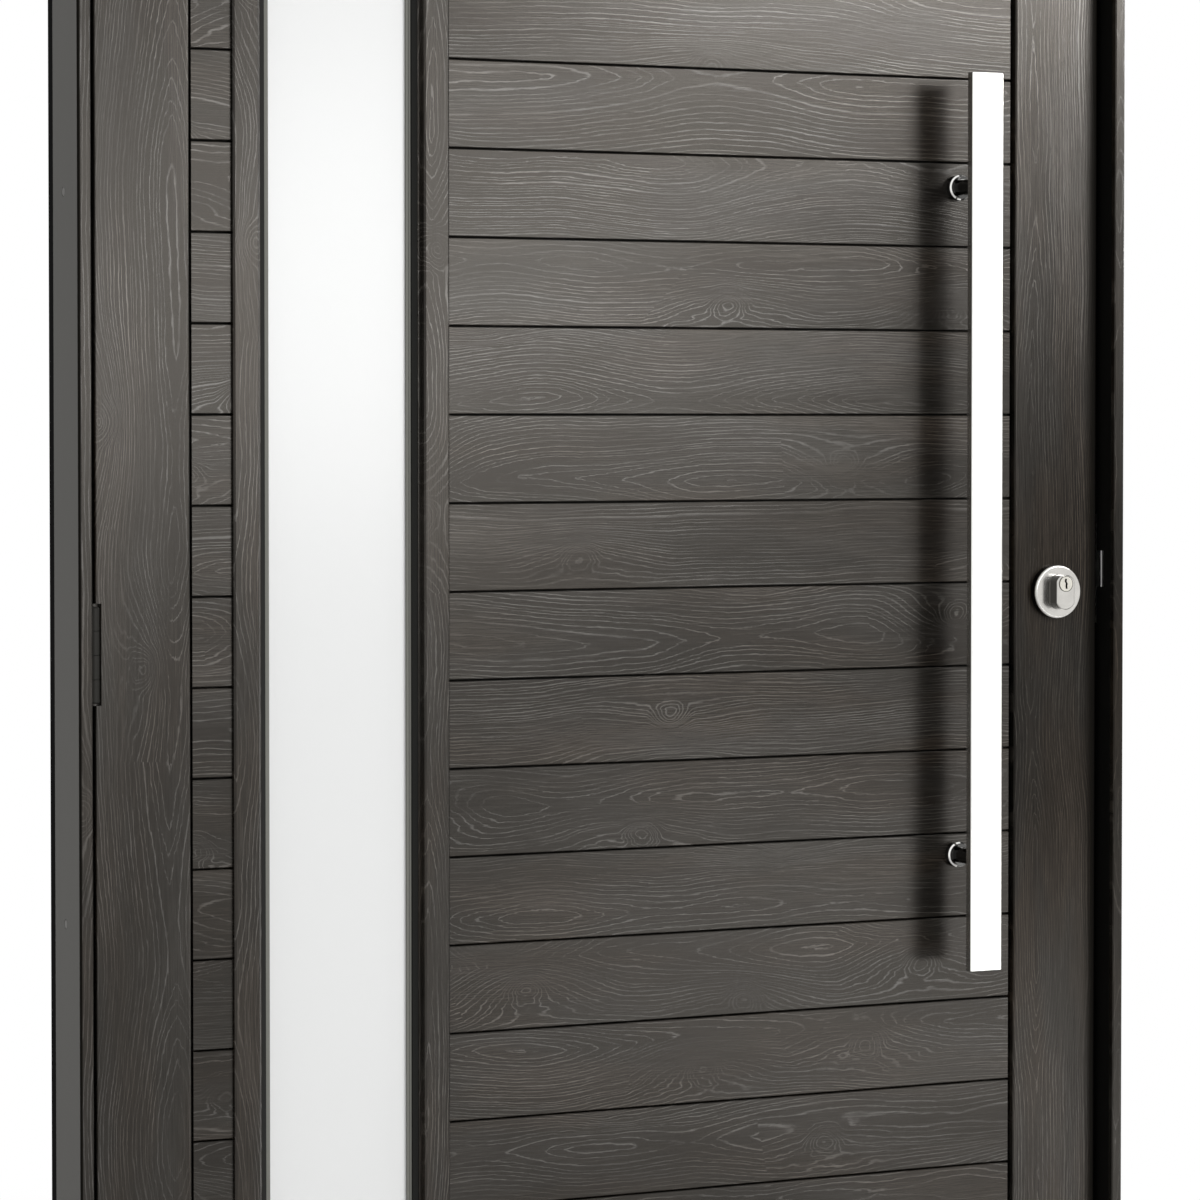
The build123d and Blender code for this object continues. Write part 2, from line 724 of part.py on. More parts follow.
def main():
    """Build every piece and write one file for each."""
    make_frame()
    make_facings()
    make_core()
    make_outer_face()
    make_inner_face()
    make_glazing()
    make_hinges()
    make_pull_bar()
    make_lock()
    make_lever()
    os.makedirs("parts", exist_ok=True)
    for name, piece in nodes.items():
        export_step(piece, "parts/" + name + ".step")


main()
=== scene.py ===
"""Looks of an outward-opening entrance door: stained timber boards over an aluminium frame and leaf.

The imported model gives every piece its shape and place, in metres, with X along the door's width, +Y
indoors and Z up. This script gives each piece its finish, adds the small fasteners, and sets up the
floor, the lamps and the camera.
"""

from __future__ import annotations

import json
import logging
import math
from dataclasses import dataclass
from enum import Enum
from typing import Iterable, Mapping, Optional, Sequence, Union

import bmesh
import bpy
from mathutils import Matrix, Vector

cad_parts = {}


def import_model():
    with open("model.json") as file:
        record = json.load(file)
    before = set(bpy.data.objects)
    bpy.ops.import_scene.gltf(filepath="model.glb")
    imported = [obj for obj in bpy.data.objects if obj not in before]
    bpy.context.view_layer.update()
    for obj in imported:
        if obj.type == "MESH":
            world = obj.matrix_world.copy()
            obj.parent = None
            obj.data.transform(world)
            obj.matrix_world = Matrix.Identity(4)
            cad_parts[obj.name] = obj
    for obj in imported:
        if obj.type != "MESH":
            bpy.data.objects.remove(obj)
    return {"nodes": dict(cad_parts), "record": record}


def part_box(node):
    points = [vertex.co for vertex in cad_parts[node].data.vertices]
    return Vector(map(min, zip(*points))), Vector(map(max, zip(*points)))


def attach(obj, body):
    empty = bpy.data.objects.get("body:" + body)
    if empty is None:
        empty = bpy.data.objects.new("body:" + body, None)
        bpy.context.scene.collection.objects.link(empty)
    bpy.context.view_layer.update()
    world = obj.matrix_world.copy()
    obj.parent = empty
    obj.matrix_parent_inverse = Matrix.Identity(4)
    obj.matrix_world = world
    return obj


LOG = logging.getLogger("door")

Colour = tuple[float, float, float]
Point = tuple[float, float, float]
Span = tuple[float, float]

MM_PER_M = 1000.0
NOISE_MEAN = 0.5
HAND_HEIGHT = 0.90
WHITE: Colour = (1.0, 1.0, 1.0)
FRAME_COAT: Colour = (0.046, 0.0435, 0.0375)
SATIN_STEEL: Colour = (0.90, 0.89, 0.865)

# A piece that is one single board lies within one pitch of this width.
ONE_BOARD = 1.0

# Each piece draws its figure from its own number, so that no two look alike.
BOARD_SEEDS: Mapping[str, float] = {
    "hinge_jamb_facing": 11.3,
    "lock_jamb_facing": 12.3,
    "head_facing": 14.9,
    "outer_wide_planks": 21.7,
    "outer_narrow_planks": 47.2,
    "inner_planks": 63.9,
    "outer_hinge_stile": 81.3,
    "outer_lock_stile": 97.4,
    "outer_trim_left": 105.1,
    "outer_trim_right": 118.8,
    "inner_stiles": 131.2,
    "inner_trim": 144.4,
    "outer_rails": 151.5,
    "inner_rails": 162.3,
    "outer_trim_bottom": 173.6,
    "outer_trim_top": 185.9,
}

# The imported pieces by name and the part's record, filled when the model is loaded.
NODES: dict[str, bpy.types.Object] = {}
RECORD: dict[str, object] = {}


class Grain(Enum):
    """Direction in which a board's fibres or a metal's brush lines run."""

    LEVEL = "X"
    UPRIGHT = "Z"


class Body(Enum):
    """The two bodies of the door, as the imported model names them."""

    FRAME = "frame"
    LEAF = "leaf"


class Wire:
    """One output of a shader node; arithmetic on it adds Math nodes."""

    def __init__(self, sheet: Sheet, socket: bpy.types.NodeSocket) -> None:
        """Hold a socket and the sheet that it belongs to."""
        self.sheet = sheet
        self.socket = socket

    def __add__(self, other: Value) -> Wire:
        """Sum of this wire and another value."""
        return self.sheet.math("ADD", self, other)

    __radd__ = __add__

    def __sub__(self, other: Value) -> Wire:
        """Difference of this wire and another value."""
        return self.sheet.math("SUBTRACT", self, other)

    def __rsub__(self, other: float) -> Wire:
        """Difference of a number and this wire."""
        return self.sheet.math("SUBTRACT", other, self)

    def __mul__(self, other: Value) -> Wire:
        """Product of this wire and another value."""
        return self.sheet.math("MULTIPLY", self, other)

    __rmul__ = __mul__

    def __truediv__(self, other: Value) -> Wire:
        """Quotient of this wire and another value."""
        return self.sheet.math("DIVIDE", self, other)

    def __pow__(self, other: Value) -> Wire:
        """This wire raised to a power."""
        return self.sheet.math("POWER", self, other)

    def root(self) -> Wire:
        """Square root of this wire."""
        return self.sheet.math("SQRT", self)

    def size(self) -> Wire:
        """This wire without its sign."""
        return self.sheet.math("ABSOLUTE", self)

    def swing(self) -> Wire:
        """A noise or a random draw, measured from its mean."""
        return self - NOISE_MEAN

    def at_least(self, low: Value) -> Wire:
        """The larger of this wire and another value."""
        return self.sheet.math("MAXIMUM", self, low)

    def above(self, level: Value) -> Wire:
        """1 where this wire is above a level and 0 elsewhere."""
        return self.sheet.math("GREATER_THAN", self, level)

    def below(self, level: Value) -> Wire:
        """1 where this wire is below a level and 0 elsewhere."""
        return self.sheet.math("LESS_THAN", self, level)


Value = Union[float, Sequence[float], Wire]
Inputs = Mapping[Union[str, int], Value]


class Sheet:
    """The node tree of one material or of the world."""

    def __init__(self, tree: bpy.types.NodeTree) -> None:
        """Keep the tree of a material or of the world, and empty it."""
        self.tree = tree
        self.tree.nodes.clear()

    def add(
        self,
        kind: str,
        settings: Optional[Mapping[str, object]] = None,
        inputs: Optional[Inputs] = None,
        output: Union[str, int] = 0,
    ) -> Wire:
        """Add any node, set it up and wire its inputs.

        Args:
            kind: node type without its common prefix, such as TexNoise.
            settings: attributes of the node, set before its inputs.
            inputs: values or wires for its input sockets, by name or number.
            output: name or number of the output socket to return.

        Returns:
            The chosen output as a wire.
        """
        node = self.tree.nodes.new("ShaderNode" + kind)
        for name, setting in (settings or {}).items():
            setattr(node, name, setting)
        for name, value in (inputs or {}).items():
            socket = node.inputs[name]
            if isinstance(value, Wire):
                self.tree.links.new(value.socket, socket)
            else:
                socket.default_value = value
        outputs = node.outputs
        return Wire(self, outputs[output] if len(outputs) else None)

    def math(self, operation: str, first: Value, second: Value = 0.0) -> Wire:
        """Add a Math node on one or two values."""
        return self.add("Math", {"operation": operation}, {0: first, 1: second})

    def axes(self) -> tuple[Wire, Wire, Wire]:
        """The X, Y and Z of a point in the object's own coordinates."""
        return self.split(self.add("TexCoord", output="Object"))

    def split(self, vector: Wire) -> tuple[Wire, Wire, Wire]:
        """The three parts of a vector."""
        return tuple(self.add("SeparateXYZ", {}, {0: vector}, axis) for axis in "XYZ")

    def vector(self, x: Value, y: Value, z: Value = 0.0) -> Wire:
        """One vector from three values."""
        return self.add("CombineXYZ", {}, {"X": x, "Y": y, "Z": z})

    def noise(self, where: Wire, scale: float = 1.0, detail: float = 2.0, rough: float = 0.5) -> Wire:
        """Soft noise between 0 and 1, about NOISE_MEAN on average."""
        inputs = {"Vector": where, "Scale": scale, "Detail": detail, "Roughness": rough}
        return self.add("TexNoise", {}, inputs)

    def fade(self, value: Wire, low: float, high: float) -> Wire:
        """Smooth step from 0 at low to 1 at high."""
        settings = {"interpolation_type": "SMOOTHSTEP"}
        inputs = {"Value": value, "From Min": low, "From Max": high}
        return self.add("MapRange", settings, inputs, "Result")

    def share(self, value: Wire, span: Span, least: float) -> Wire:
        """Smooth rise from least to 1 as a value crosses a span."""
        return self.fade(value, *span) * (1.0 - least) + least

    def blend(self, factor: Value, first: Union[Colour, Wire], second: Union[Colour, Wire]) -> Wire:
        """Mix of two colours."""
        inputs = {0: factor, 6: self._opaque(first), 7: self._opaque(second)}
        return self.add("Mix", {"data_type": "RGBA"}, inputs, 2)

    @staticmethod
    def _opaque(colour: Union[Colour, Wire]) -> Value:
        """A colour with full alpha, or the wire as it is."""
        return colour if isinstance(colour, Wire) else (*colour, 1.0)

    def scaled(self, colour: Wire, amount: Value) -> Wire:
        """A colour made lighter or darker by a factor."""
        return self.add("VectorMath", {"operation": "SCALE"}, {0: colour, "Scale": amount})

    def bump(self, height: Wire, distance: float, strength: float) -> Wire:
        """Normal of a surface with a relief of this depth in metres, and how much of it shows."""
        inputs = {"Height": height, "Distance": distance, "Strength": strength}
        return self.add("Bump", {}, inputs, "Normal")

    def mottled(
        self,
        noises: Sequence[tuple[Speck, Wire]],
        pair: tuple[Colour, Colour],
        roughness: Value,
        relief: Span,
    ) -> dict[str, Value]:
        """Colour, roughness and relief of a surface that a few noises vary.

        Args:
            noises: each noise with its coordinates; the first one also gives the relief.
            pair: the two colours that the noises mix.
            roughness: roughness with every noise at its mean.
            relief: depth in metres and strength of the relief.

        Returns:
            Inputs for a Principled surface.
        """
        amount: Value = 0.0
        height: Optional[Wire] = None
        for speck, where in noises:
            noise = self.noise(where, speck.scale, speck.detail, speck.harsh)
            amount = amount + noise * speck.share
            if speck.rough:
                roughness = roughness + noise.swing() * speck.rough
            height = height or noise
        return {
            "Base Color": self.blend(amount, *pair),
            "Roughness": roughness,
            "Normal": self.bump(height, *relief),
        }

    def surface(self, inputs: Inputs) -> None:
        """End the tree in a Principled surface with these inputs."""
        self.end(self.add("BsdfPrincipled", {}, inputs))

    def end(self, shader: Wire) -> None:
        """End a material's tree in a shader."""
        self.add("OutputMaterial", {}, {"Surface": shader})


def shade(colour: Colour, factor: float) -> Colour:
    """A plain colour made lighter or darker by a factor."""
    return tuple(part * factor for part in colour)


@dataclass(frozen=True)
class Finish:
    """A finish with a name; each kind writes its own nodes."""

    name: str

    def material(self) -> bpy.types.Material:
        """Make the material.

        Returns:
            The new material, with its nodes written.
        """
        made = bpy.data.materials.new(self.name)
        made.use_nodes = True
        self.write(Sheet(made.node_tree))
        return made

    def write(self, sheet: Sheet) -> None:
        """Write the finish's nodes onto an empty sheet."""
        raise NotImplementedError


@dataclass(frozen=True)
class Spot:
    """Where a point lies on its board.

    along runs with the grain and offset across it, from the board's middle. lane differs from board to
    board, and draws are three random numbers per board.
    """

    along: Wire
    offset: Wire
    lane: Wire
    draws: tuple[Wire, Wire, Wire]


@dataclass(frozen=True)
class Streak:
    """Noise drawn out along the grain, in cells per metre each way; shift sets two noises apart."""

    along: float
    across: float
    shift: float = 0.0
    detail: float = 2.0
    rough: float = 0.5

    def on(self, sheet: Sheet, spot: Spot, across: Optional[Wire] = None) -> Wire:
        """The noise at a spot; across stands in for the distance from the board's middle."""
        wide = (across or spot.offset) * self.across
        where = sheet.vector(spot.along * self.along, wide, spot.lane + self.shift)
        return sheet.noise(where, 1.0, self.detail, self.rough)


@dataclass(frozen=True)
class Wander:
    """Slow noise along one line per board; shift sets two noises apart."""

    pace: float
    shift: float

    def noise(self, sheet: Sheet, place: Wire, lane: Wire) -> Wire:
        """The noise at a place on the line."""
        return sheet.noise(sheet.vector(place * self.pace, lane, self.shift), 1.0, 1.0)


@dataclass(frozen=True)
class Eyes:
    """Swellings that the growth lines bend round and close on, as over a knot."""

    chance: float = 0.46
    pitch: float = 0.21
    board_width: float = 0.0754
    first_row: float = 0.5
    lane_step: float = 13.7
    scatter: float = 0.6
    bend: float = 0.012
    swell_stretch: float = 0.12
    swell_reach: float = 0.036
    swell_height: float = 0.015
    knot_stretch: float = 0.7
    knot_reach: float = 0.021
    knot_height: float = 0.014

    def height(self, sheet: Sheet, spot: Spot, ripple: Wire) -> Wire:
        """Height of the swellings at a spot.

        Args:
            sheet: sheet to write on.
            spot: place on the board.
            ripple: noise about zero that bends the swellings out of round.

        Returns:
            The height in metres.
        """
        column = spot.along / self.pitch + spot.lane * self.lane_step
        row = spot.offset / self.board_width + self.first_row
        settings = {"voronoi_dimensions": "2D", "feature": "F1"}
        inputs = {"Vector": sheet.vector(column, row), "Scale": 1.0, "Randomness": self.scatter}
        cell = sheet.add("TexVoronoi", settings, inputs, "Color")
        middle = sheet.split(sheet.add("TexVoronoi", settings, inputs, "Position"))
        chosen = sheet.add("SeparateColor", {}, {0: cell}, "Red").below(self.chance)
        away = (column - middle[0]) * self.pitch
        aside = (row - middle[1]) * self.board_width + ripple * self.bend
        swell = self._mound(sheet, away, aside, self.swell_stretch, self.swell_reach)
        knot = self._mound(sheet, away, aside, self.knot_stretch, self.knot_reach)
        return chosen * (swell * self.swell_height + knot * self.knot_height)

    @staticmethod
    def _mound(sheet: Sheet, away: Wire, aside: Wire, stretch: float, reach: float) -> Wire:
        """Mound of height 1, drawn out along the grain, that ends at its reach."""
        far = (away * away * stretch + aside * aside).root()
        return 1.0 - sheet.fade(far, 0.0, reach)


@dataclass(frozen=True)
class Rings:
    """Growth rings, cut by a board's face into thin late-wood lines round the board's own pith."""

    width: float = 0.0022
    width_spread: float = 0.0015
    arch_power: float = 1.45
    pith_spread: float = 0.085
    pith_sway: float = 0.030
    depth: float = 0.008
    depth_spread: float = 0.030
    depth_drift: float = 0.080
    least_depth: float = 0.003
    ripple_bend: float = 0.0030
    jag_bend: float = 0.0011
    fibre_bend: float = 0.0009
    year_spread: float = 2.4
    least_slope: float = 0.05
    line_span: Span = (0.02, 0.20)
    drift: Wander = Wander(3.2, 0.5)
    sway: Wander = Wander(3.6, 7.5)
    years: Wander = Wander(0.42, 3.5)
    ripple: Streak = Streak(24.0, 70.0)
    jag: Streak = Streak(110.0, 330.0, shift=5.0, rough=0.6)
    eyes: Eyes = Eyes()

    def lines(self, sheet: Sheet, spot: Spot, fibre: Wire) -> Wire:
        """Late-wood lines where the board's face cuts the rings.

        Args:
            sheet: sheet to write on.
            spot: place on the board.
            fibre: fine noise about zero, drawn out along the grain.

        Returns:
            1 on a line and 0 between lines.
        """
        first, second, third = spot.draws
        drift = self.drift.noise(sheet, spot.along, spot.lane).swing()
        sway = self.sway.noise(sheet, spot.along, spot.lane).swing()
        ripple = self.ripple.on(sheet, spot).swing()
        jag = self.jag.on(sheet, spot).swing()
        depth = second * self.depth_spread + self.depth + drift * self.depth_drift
        depth = depth.at_least(self.least_depth)
        aside = (spot.offset + first.swing() * self.pith_spread + sway * self.pith_sway).size()
        power = self.arch_power
        radius = (aside**power + depth**power) ** (1.0 / power)
        slope = ((aside / radius) ** (2.0 * power - 2.0) + self.least_slope).root()
        bent = radius + ripple * self.ripple_bend + jag * self.jag_bend + fibre * self.fibre_bend
        bent = bent + self.eyes.height(sheet, spot, ripple)
        count = bent / (third * self.width_spread + self.width)
        years = self.years.noise(sheet, count, spot.lane).swing()
        phase = sheet.math("FRACT", count + years * self.year_spread)
        return 1.0 - sheet.fade(phase.swing().size() / slope, *self.line_span)


NO_EYES = Rings(eyes=Eyes(chance=0.0))
RARE_EYES = Rings(eyes=Eyes(chance=0.1))
SOME_EYES = Rings(eyes=Eyes(chance=0.16))


@dataclass(frozen=True)
class Timber(Finish):
    """Brushed softwood with a grey-brown stain and a soft lacquer sheen.

    Thin pale late-wood lines lie on dark early wood. dark_edge is where a flat dark painted shade
    replaces the lacquer towards a piece's side, as distances from the door's middle. Round worn_height
    the lacquer is dull from handling.
    """

    grain: Grain
    first_centre: float
    pitch: float
    seed: float
    # Painted shade: span of distances from the middle over which the piece fades to a flat dark matt
    # colour.
    dark_edge: Optional[Span] = None
    worn_height: Optional[float] = None
    dull_gloss: float = 0.14
    rings: Rings = Rings()

    dark: Colour = (0.0024, 0.0021, 0.0018)
    pale: Colour = (0.0360, 0.0322, 0.0270)
    sheen: Colour = (1.0, 0.93, 0.84)
    blush: Colour = (1.75, 1.36, 1.04)
    # Colour of that painted shade.
    painted_shade_colour: Colour = (0.0110, 0.0100, 0.0085)
    gloss: float = 0.39
    roughness: float = 0.25
    coat_roughness: float = 0.27

    draw_step: float = 3.7
    lane_step: float = 5.31
    lane_seed: float = 1.7
    fibre: Streak = Streak(30.0, 1000.0, detail=3.0, rough=0.62)
    patch: Streak = Streak(6.0, 34.0, shift=9.0)
    cloud: Streak = Streak(3.4, 16.0, shift=31.0)
    breaks: Streak = Streak(46.0, 260.0, shift=53.0)
    warmth: Streak = Streak(5.0, 22.0, shift=77.0)

    patch_span: Span = (0.34, 0.64)
    patch_least: float = 0.32
    break_span: Span = (0.30, 0.56)
    break_least: float = 0.45
    ground: float = 0.22
    line_tone: float = 0.60
    fibre_tone: float = 0.80
    cloud_tone: float = 0.60
    blush_span: Span = (0.42, 0.66)
    blush_share: float = 0.5
    board_least: float = 0.85
    board_spread: float = 0.30
    line_coat: float = 0.92
    fibre_coat: float = 0.50
    cloud_coat: float = 0.50
    cloud_coat_from: float = 0.42
    line_smooth: float = 0.03
    fibre_rough: float = 0.10
    cloud_rough: float = 0.05
    line_relief: float = 0.6
    fibre_relief: float = 0.5
    relief: Span = (0.00008, 0.4)
    worn_span: Span = (0.10, 0.50)
    worn_coat: float = 0.15

    def write(self, sheet: Sheet) -> None:
        """Write the rings, fibres and eyes of the boards."""
        x, _, z = sheet.axes()
        along, across = (x, z) if self.grain is Grain.LEVEL else (z, x)
        spot = self._spot(sheet, along, across)
        raw_fibre = self.fibre.on(sheet, spot, across)
        fibre = raw_fibre.swing()
        cloud = self.cloud.on(sheet, spot)
        presence = sheet.share(self.patch.on(sheet, spot), self.patch_span, self.patch_least)
        unbroken = sheet.share(self.breaks.on(sheet, spot), self.break_span, self.break_least)
        lines = self.rings.lines(sheet, spot, fibre) * presence * unbroken
        coat = lines * self.line_coat + (cloud - self.cloud_coat_from) * self.cloud_coat
        coat = (coat + fibre * self.fibre_coat).at_least(0.0)
        rough = self.roughness - lines * self.line_smooth + fibre * self.fibre_rough
        height = lines * self.line_relief + raw_fibre * self.fibre_relief
        lacquered = {
            "Base Color": self._colour(sheet, spot, lines, fibre, cloud.swing()),
            "Roughness": rough + cloud.swing() * self.cloud_rough,
            "Specular IOR Level": self.gloss,
            "Specular Tint": (*self.sheen, 1.0),
            "Coat Weight": coat,
            "Coat Roughness": self.coat_roughness,
            "Normal": sheet.bump(height, *self.relief),
        }
        shader = sheet.add("BsdfPrincipled", {}, lacquered)
        if self.worn_height is not None:
            worn = 1.0 - sheet.fade((spot.along - self.worn_height).size(), *self.worn_span)
            matt = {"Specular IOR Level": self.dull_gloss, "Coat Weight": coat * self.worn_coat}
            dull = sheet.add("BsdfPrincipled", {}, {**lacquered, **matt})
            shader = sheet.add("MixShader", {}, {0: worn, 1: shader, 2: dull})
        # Painted shade: towards the side, the lacquered wood gives way to a flat dark matt surface.
        if self.dark_edge is not None:
            side = sheet.fade(x.size(), *self.dark_edge)
            edge = sheet.add("BsdfDiffuse", {}, {"Color": (*self.painted_shade_colour, 1.0)})
            shader = sheet.add("MixShader", {}, {0: side, 1: shader, 2: edge})
        sheet.end(shader)

    def _spot(self, sheet: Sheet, along: Wire, across: Wire) -> Spot:
        """Find the board that a point is on, and its place there.

        Args:
            sheet: sheet to write on.
            along: coordinate with the grain.
            across: coordinate across it.

        Returns:
            The spot on that board.
        """
        start = self.first_centre - self.pitch / 2
        index = sheet.math("FLOOR", (across - start) / self.pitch)
        offset = across - (index * self.pitch + self.first_centre)
        number = {"W": index * self.draw_step + self.seed}
        luck = sheet.add("TexWhiteNoise", {"noise_dimensions": "1D"}, number, "Color")
        lane = index * self.lane_step + self.seed * self.lane_seed
        return Spot(along, offset, lane, sheet.split(luck))

    def _colour(self, sheet: Sheet, spot: Spot, lines: Wire, fibre: Wire, cloud: Wire) -> Wire:
        """Colour of the stained wood.

        Args:
            sheet: sheet to write on.
            spot: place on the board.
            lines: late-wood lines.
            fibre: fine noise about zero.
            cloud: broad noise about zero.

        Returns:
            The colour, a little lighter or darker from board to board.
        """
        amount = lines * self.line_tone + fibre * self.fibre_tone + cloud * self.cloud_tone
        amount = sheet.math("MINIMUM", (amount + self.ground).at_least(0.0), 1.0)
        colour = sheet.blend(amount, self.dark, self.pale)
        warm = sheet.fade(self.warmth.on(sheet, spot), *self.blush_span) * self.blush_share
        blushed = sheet.add("VectorMath", {"operation": "MULTIPLY"}, {0: colour, 1: self.blush})
        colour = sheet.blend(warm, colour, blushed)
        return sheet.scaled(colour, spot.draws[0] * self.board_spread + self.board_least)


@dataclass(frozen=True)
class Speck:
    """One noise of a finish: its cells per metre and its share in the colour and the roughness."""

    scale: float
    share: float
    rough: float = 0.0
    detail: float = 2.0
    harsh: float = 0.5


@dataclass(frozen=True)
class PowderCoat(Finish):
    """Coated metal with a fine even grain.

    rebate is how far from the middle, how far indoors and how high a near-black lining of painted
    shade reaches, standing for the shade in the frame's rebate.
    """

    colour: Colour
    roughness: float = 0.42
    gloss: float = 0.46
    rebate: Optional[Point] = None
    sheen: Colour = (1.0, 0.975, 0.925)
    # Near-black colour of the painted shade in the rebate.
    painted_rebate_shade: Colour = (0.0050, 0.0048, 0.0043)
    pale_by: float = 1.18
    grain: Speck = Speck(1600.0, 0.3, 0.2)
    cloud: Speck = Speck(7.0, 0.5)
    relief: Span = (0.00006, 0.5)

    def write(self, sheet: Sheet) -> None:
        """Write the coat's colour, grain and sheen."""
        x, y, z = sheet.axes()
        where = sheet.vector(x, y, z)
        pair = (self.colour, shade(self.colour, self.pale_by))
        noises = ((self.grain, where), (self.cloud, where))
        looks = sheet.mottled(noises, pair, self.roughness, self.relief)
        # Painted shade: inside the rebate the coat turns near black.
        if self.rebate is not None:
            side, back, top = self.rebate
            inside = x.size().below(side) * y.below(back) * z.below(top)
            looks["Base Color"] = sheet.blend(inside, looks["Base Color"], self.painted_rebate_shade)
        looks["Specular IOR Level"] = self.gloss
        looks["Specular Tint"] = (*self.sheen, 1.0)
        sheet.surface(looks)


@dataclass(frozen=True)
class Rubber(Finish):
    """Moulded rubber with a dry bloom in upright streaks."""

    colour: Colour
    roughness: float = 0.62
    gloss: float = 0.12
    pale_by: float = 1.6
    pale_over: float = 0.006
    speckle: Speck = Speck(900.0, 0.3, 0.2)
    bloom: Speck = Speck(12.0, 0.4, detail=3.0)
    bloom_rise: float = 0.25
    relief: Span = (0.00005, 0.5)

    def write(self, sheet: Sheet) -> None:
        """Write the rubber's speckle and bloom."""
        x, y, z = sheet.axes()
        pale = tuple(part * self.pale_by + self.pale_over for part in self.colour)
        streaks = sheet.vector(x, y, z * self.bloom_rise)
        noises = ((self.speckle, sheet.vector(x, y, z)), (self.bloom, streaks))
        looks = sheet.mottled(noises, (self.colour, pale), self.roughness, self.relief)
        looks["Specular IOR Level"] = self.gloss
        sheet.surface(looks)


@dataclass(frozen=True)
class BrushedMetal(Finish):
    """Metal brushed along one axis, in lines this fine and this drawn out per metre."""

    colour: Colour
    grain: Grain
    roughness: float = 0.26
    worn_by: float = 0.86
    fine: float = 2600.0
    drawn: float = 14.0
    brush: Speck = Speck(1.0, 0.7, 0.16, detail=3.0, harsh=0.65)
    smear: Speck = Speck(16.0, 0.3, 0.10)
    relief: Span = (0.00002, 0.35)

    def write(self, sheet: Sheet) -> None:
        """Write the fine brush lines."""
        x, y, z = sheet.axes()
        upright = self.grain is Grain.UPRIGHT
        wide = x * (self.fine if upright else self.drawn)
        high = z * (self.drawn if upright else self.fine)
        lines = sheet.vector(wide, y * self.fine, high)
        pair = (shade(self.colour, self.worn_by), self.colour)
        noises = ((self.brush, lines), (self.smear, sheet.vector(x, y, z)))
        looks = sheet.mottled(noises, pair, self.roughness, self.relief)
        sheet.surface({**looks, "Metallic": 1.0})


@dataclass(frozen=True)
class TurnedMetal(Finish):
    """Metal turned and polished round an axis along Y.

    shaded_walls is the span of Y in which painted shade darkens the piece, standing for shade and dark
    reflections on its sides, and rim_from the radius beyond which it does so too.
    """

    colour: Colour
    centre: Span
    roughness: float = 0.14
    shaded_walls: Optional[Span] = None
    rim_from: Optional[float] = None
    # Share of the colour left where painted shade darkens the piece.
    painted_shade_tone: float = 0.10
    worn_by: float = 0.88
    fine: float = 5200.0
    drawn: float = 900.0
    rings: Speck = Speck(1.0, 0.4, 0.08)
    smear: Speck = Speck(90.0, 0.3, 0.12, detail=3.0)
    grain: Speck = Speck(1400.0, 0.3)
    relief: Span = (0.00001, 0.3)

    def write(self, sheet: Sheet) -> None:
        """Write the faint turning rings and smears."""
        x, y, z = sheet.axes()
        where = sheet.vector(x, y, z)
        out = x - self.centre[0]
        up = z - self.centre[1]
        radius = (out * out + up * up).root()
        turned = sheet.vector(radius * self.fine, y * self.drawn)
        pair = (shade(self.colour, self.worn_by), self.colour)
        noises = ((self.rings, turned), (self.smear, where), (self.grain, where))
        looks = sheet.mottled(noises, pair, self.roughness, self.relief)
        # Painted shade: the walls, and the rim beyond rim_from, are darkened for their shade and dark
        # reflections.
        if self.shaded_walls is not None:
            painted_dark = y.above(self.shaded_walls[0]) * y.below(self.shaded_walls[1])
            if self.rim_from is not None:
                painted_dark = painted_dark.at_least(radius.above(self.rim_from))
            bright = 1.0 - painted_dark * (1.0 - self.painted_shade_tone)
            looks["Base Color"] = sheet.scaled(looks["Base Color"], bright)
        sheet.surface({**looks, "Metallic": 1.0})


@dataclass(frozen=True)
class PolishedMetal(Finish):
    """Mirror-polished metal, at full colour on its rims, which are spans of Y, and darkened elsewhere
    as painted shade for dark reflections.
    """

    colour: Colour
    rims: Sequence[Span]
    roughness: float = 0.075
    # Share of the colour left off the rims, as painted shade.
    painted_shade_tone: float = 0.12
    worn_by: float = 0.85
    pits: Speck = Speck(2200.0, 0.3, detail=1.0)
    smear: Speck = Speck(120.0, 0.7, 0.05, detail=3.0)
    relief: Span = (0.000004, 0.2)

    def write(self, sheet: Sheet) -> None:
        """Write the smears and pits of a polished surface, and the painted shade off its rims."""
        x, y, z = sheet.axes()
        where = sheet.vector(x, y, z)
        pair = (shade(self.colour, self.worn_by), self.colour)
        noises = ((self.pits, where), (self.smear, where))
        looks = sheet.mottled(noises, pair, self.roughness, self.relief)
        # Painted shade: everything off the rims is darkened, standing for the dark reflections on the
        # posts.
        rim: Value = 0.0
        for front, back in self.rims:
            rim = y.above(front) * y.below(back) + rim
        bright = rim * (1.0 - self.painted_shade_tone) + self.painted_shade_tone
        looks["Base Color"] = sheet.scaled(looks["Base Color"], bright)
        sheet.surface({**looks, "Metallic": 1.0})


@dataclass(frozen=True)
class SatinGlass(Finish):
    """White satin glass with a smooth outer face."""

    colour: Colour
    pale_by: float = 1.03
    cloud_width: float = 5.0
    cloud_height: float = 1.4
    etch_scale: float = 1500.0
    roughness: float = 0.16
    etch_rough: float = 0.08
    clearness: float = 0.12
    bending: float = 1.5

    def write(self, sheet: Sheet) -> None:
        """Write the milky body and its faint clouding."""
        x, y, z = sheet.axes()
        cloud = sheet.noise(sheet.vector(x * self.cloud_width, y, z * self.cloud_height))
        etch = sheet.noise(sheet.vector(x, y, z), self.etch_scale, 1.0)
        paler = tuple(min(1.0, part) for part in shade(self.colour, self.pale_by))
        sheet.surface(
            {
                "Base Color": sheet.blend(cloud, self.colour, paler),
                "Roughness": self.roughness + etch * self.etch_rough,
                "Transmission Weight": self.clearness,
                "IOR": self.bending,
            }
        )


